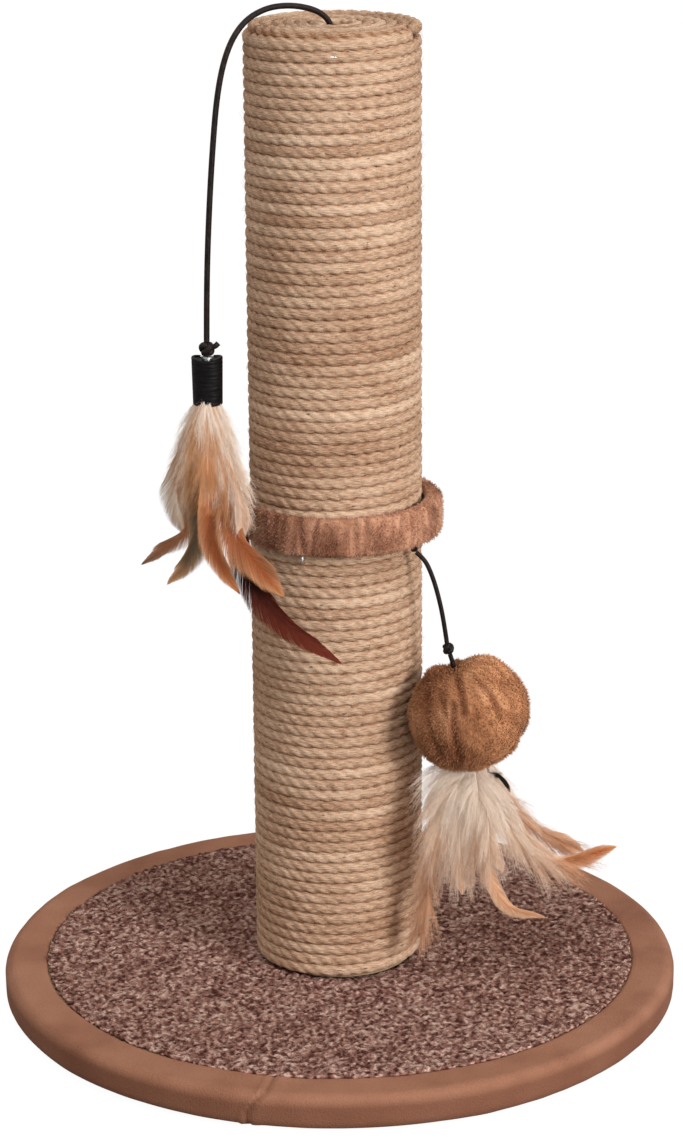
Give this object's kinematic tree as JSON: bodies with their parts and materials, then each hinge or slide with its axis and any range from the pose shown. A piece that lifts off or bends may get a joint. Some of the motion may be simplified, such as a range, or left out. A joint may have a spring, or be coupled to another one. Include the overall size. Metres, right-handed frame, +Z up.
{
  "type": "cat scratching post",
  "caption": "Round carpeted base with a rope-wound upright post, a loose plush hoop with a ball on a cord, and a feather tassel hanging from a springy cord at the top.",
  "frame": {"origin": "on the floor, under the middle of the round base", "axes": "+Z up along the post, -Y towards the front, +X to the right"},
  "size_m": [0.301, 0.301, 0.4439],
  "materials": {
    "rubber": "matt moulded rubber",
    "felt": "needled felt",
    "fibreboard": "raw medium-density fibreboard",
    "plush_brown": "short velvet plush, brown",
    "carpet_pile": "speckled loop pile carpet",
    "zinc_steel": "bright zinc",
    "plug_wood": "turned pine",
    "cardboard": "spiral-wound grey board",
    "cap_plastic": "moulded polyethylene",
    "jute": "three-strand jute rope",
    "staple_steel": "bright staple wire",
    "hoop_plastic": "moulded polypropylene",
    "plush_tan": "short pile plush, tan",
    "black_cord": "waxed black cord",
    "foam": "expanded polystyrene",
    "feather_white": "fluffed white feather",
    "feather_tan": "dyed tan feather",
    "feather_amber": "dyed amber feather",
    "feather_brown": "dark brown feather",
    "black_plastic": "moulded black plastic",
    "eyelet_metal": "bright pressed metal"
  },
  "bodies": {
    "root": {"anti_slip_feet": "rubber", "underside_lining": "felt", "base_board": "fibreboard", "rim_cover": "plush_brown", "carpet": "carpet_pile", "post_bolt": "zinc_steel", "bolt_washer": "zinc_steel", "threaded_insert": "zinc_steel", "foot_plug": "plug_wood", "post_tube": "cardboard", "top_cap": "cap_plastic", "rope_length_1": "jute", "rope_length_2": "jute", "rope_length_3": "jute", "rope_length_4": "jute", "rope_top_spiral": "jute", "rope_staples": "staple_steel", "ring_staples": "staple_steel"},
    "ring": {"ring_core": "hoop_plastic", "ring_cover": "plush_tan", "toy_anchor_knot": "black_cord"},
    "toy_cord": {"toy_cord": "black_cord", "toy_cord_knot": "black_cord"},
    "ball": {"ball_cord": "black_cord", "ball_core": "foam", "ball_cover": "plush_tan", "ball_feather_1": "feather_tan", "ball_feather_2": "feather_white", "ball_feather_3": "feather_white", "ball_feather_4": "feather_white", "ball_feather_5": "feather_tan", "ball_feather_6": "feather_amber", "ball_feather_7": "feather_white", "ball_feather_8": "feather_white"},
    "wand_cord": {"wand_cord": "black_cord", "wand_stop_knot": "black_cord"},
    "wand_knot": {"wand_knot": "black_cord"},
    "wand_toy": {"ferrule_eyelet": "eyelet_metal", "ferrule": "black_plastic", "wand_feather_1": "feather_amber", "wand_feather_2": "feather_tan", "wand_feather_3": "feather_white", "wand_feather_4": "feather_tan", "wand_feather_5": "feather_amber", "wand_feather_6": "feather_brown", "wand_feather_7": "feather_white", "wand_feather_8": "feather_tan"}
  },
  "joints": [
    {"name": "ring_spin", "type": "hinge", "parent": "root", "child": "ring", "pos_m": [0, 0, 0.2235], "axis": [0, 0, 1], "continuous": true},
    {"name": "toy_swing", "type": "hinge", "parent": "ring", "child": "toy_cord", "pos_m": [0.0334, -0.0256, 0.214], "axis": [-0.6157, -0.788, 0], "range_deg": [0, 60]},
    {"name": "ball_swing", "type": "hinge", "parent": "toy_cord", "child": "ball", "pos_m": [0.0479, -0.0286, 0.1697], "axis": [0.8869, -0.462, 0], "range_deg": [-60, 60]},
    {"name": "wand_spin", "type": "hinge", "parent": "root", "child": "wand_cord", "pos_m": [0, 0, 0.434], "axis": [0, 0, 1], "continuous": true},
    {"name": "wand_side_swing", "type": "hinge", "parent": "wand_cord", "child": "wand_knot", "pos_m": [-0.05347, -0.02493, 0.302], "axis": [-0.9063, -0.4226, 0], "range_deg": [-45, 45], "deforming": ["wand_feather_1", "wand_feather_2", "wand_feather_3", "wand_feather_4", "wand_feather_5", "wand_feather_6", "wand_feather_7", "wand_feather_8"]},
    {"name": "wand_swing", "type": "hinge", "parent": "wand_knot", "child": "wand_toy", "pos_m": [-0.05347, -0.02493, 0.302], "axis": [-0.4226, 0.9063, 0], "range_deg": [-20, 75]}
  ]
}
